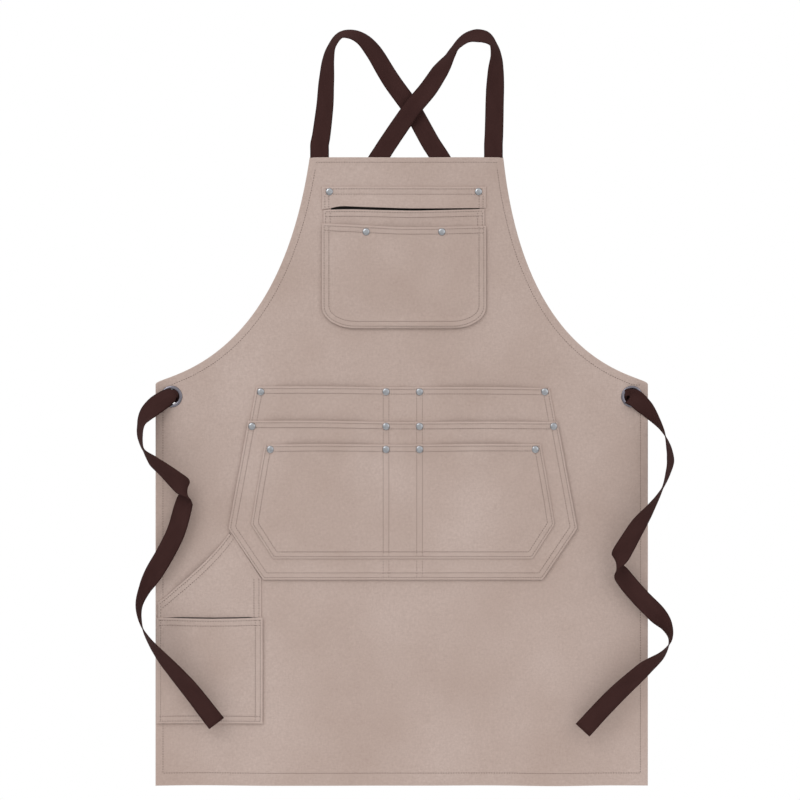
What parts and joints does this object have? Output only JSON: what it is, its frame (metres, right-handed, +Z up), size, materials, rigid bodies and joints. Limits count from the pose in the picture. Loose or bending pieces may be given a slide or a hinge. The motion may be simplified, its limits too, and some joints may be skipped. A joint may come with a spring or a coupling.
{
  "type": "cross-back work apron",
  "caption": "Canvas work apron hanging by two crossed webbing shoulder straps that run behind the panel to eyelets and end in free ties, with chest, waist and hip pockets",
  "frame": {"origin": "the point the apron hangs from, midway between its sides, at the undersides of the two strap loops", "axes": "+Z up along the hanging apron, -Y out of its front face, +X to the right of someone facing the front"},
  "size_m": [0.7423, 0.06, 1.0495],
  "materials": {
    "canvas": "dusty rose-beige cotton canvas with a fine plain weave, matt",
    "webbing": "very dark brown flat cotton webbing, matt",
    "nickel": "bright nickel plate, lightly polished"
  },
  "bodies": {
    "strap_loops": {"strap_loop_left": "webbing", "strap_loop_right": "webbing"},
    "apron_panel": {"chest_back_pocket": "canvas", "chest_flap": "canvas", "chest_front_pocket": "canvas", "eyelet_left": "nickel", "eyelet_right": "nickel", "eyelet_washer_left": "nickel", "eyelet_washer_right": "nickel", "hip_lower_pocket": "canvas", "hip_slanted_pocket": "canvas", "main_panel": "canvas", "rivet_burr_chest_flap_left": "nickel", "rivet_burr_chest_flap_right": "nickel", "rivet_burr_chest_pocket_left": "nickel", "rivet_burr_chest_pocket_right": "nickel", "rivet_burr_waist_back_divider_left": "nickel", "rivet_burr_waist_back_divider_right": "nickel", "rivet_burr_waist_back_outer_left": "nickel", "rivet_burr_waist_back_outer_right": "nickel", "rivet_burr_waist_front_divider_left": "nickel", "rivet_burr_waist_front_divider_right": "nickel", "rivet_burr_waist_front_outer_left": "nickel", "rivet_burr_waist_front_outer_right": "nickel", "rivet_burr_waist_middle_divider_left": "nickel", "rivet_burr_waist_middle_divider_right": "nickel", "rivet_burr_waist_middle_outer_left": "nickel", "rivet_burr_waist_middle_outer_right": "nickel", "rivet_cap_chest_flap_left": "nickel", "rivet_cap_chest_flap_right": "nickel", "rivet_cap_chest_pocket_left": "nickel", "rivet_cap_chest_pocket_right": "nickel", "rivet_cap_waist_back_divider_left": "nickel", "rivet_cap_waist_back_divider_right": "nickel", "rivet_cap_waist_back_outer_left": "nickel", "rivet_cap_waist_back_outer_right": "nickel", "rivet_cap_waist_front_divider_left": "nickel", "rivet_cap_waist_front_divider_right": "nickel", "rivet_cap_waist_front_outer_left": "nickel", "rivet_cap_waist_front_outer_right": "nickel", "rivet_cap_waist_middle_divider_left": "nickel", "rivet_cap_waist_middle_divider_right": "nickel", "rivet_cap_waist_middle_outer_left": "nickel", "rivet_cap_waist_middle_outer_right": "nickel", "strap_run_left": "webbing", "strap_run_right": "webbing", "strap_tail_left": "webbing", "strap_tail_right": "webbing", "waist_back_pocket": "canvas", "waist_front_pocket": "canvas", "waist_middle_pocket": "canvas"},
    "left_tie": {"tie_left": "webbing"},
    "right_tie": {"tie_right": "webbing"}
  },
  "joints": [
    {"name": "panel_swing", "type": "hinge", "parent": "strap_loops", "child": "apron_panel", "pos_m": [0, 0.00235, -0.1558], "axis": [1, 0, 0], "range_deg": [-75, 75]},
    {"name": "left_tie_swing", "type": "hinge", "parent": "apron_panel", "child": "left_tie", "pos_m": [-0.3188, 0, -0.4962], "axis": [0, 1, 0], "range_deg": [-8, 70]},
    {"name": "right_tie_swing", "type": "hinge", "parent": "apron_panel", "child": "right_tie", "pos_m": [0.3188, 0, -0.4962], "axis": [0, -1, 0], "range_deg": [-8, 70]}
  ]
}
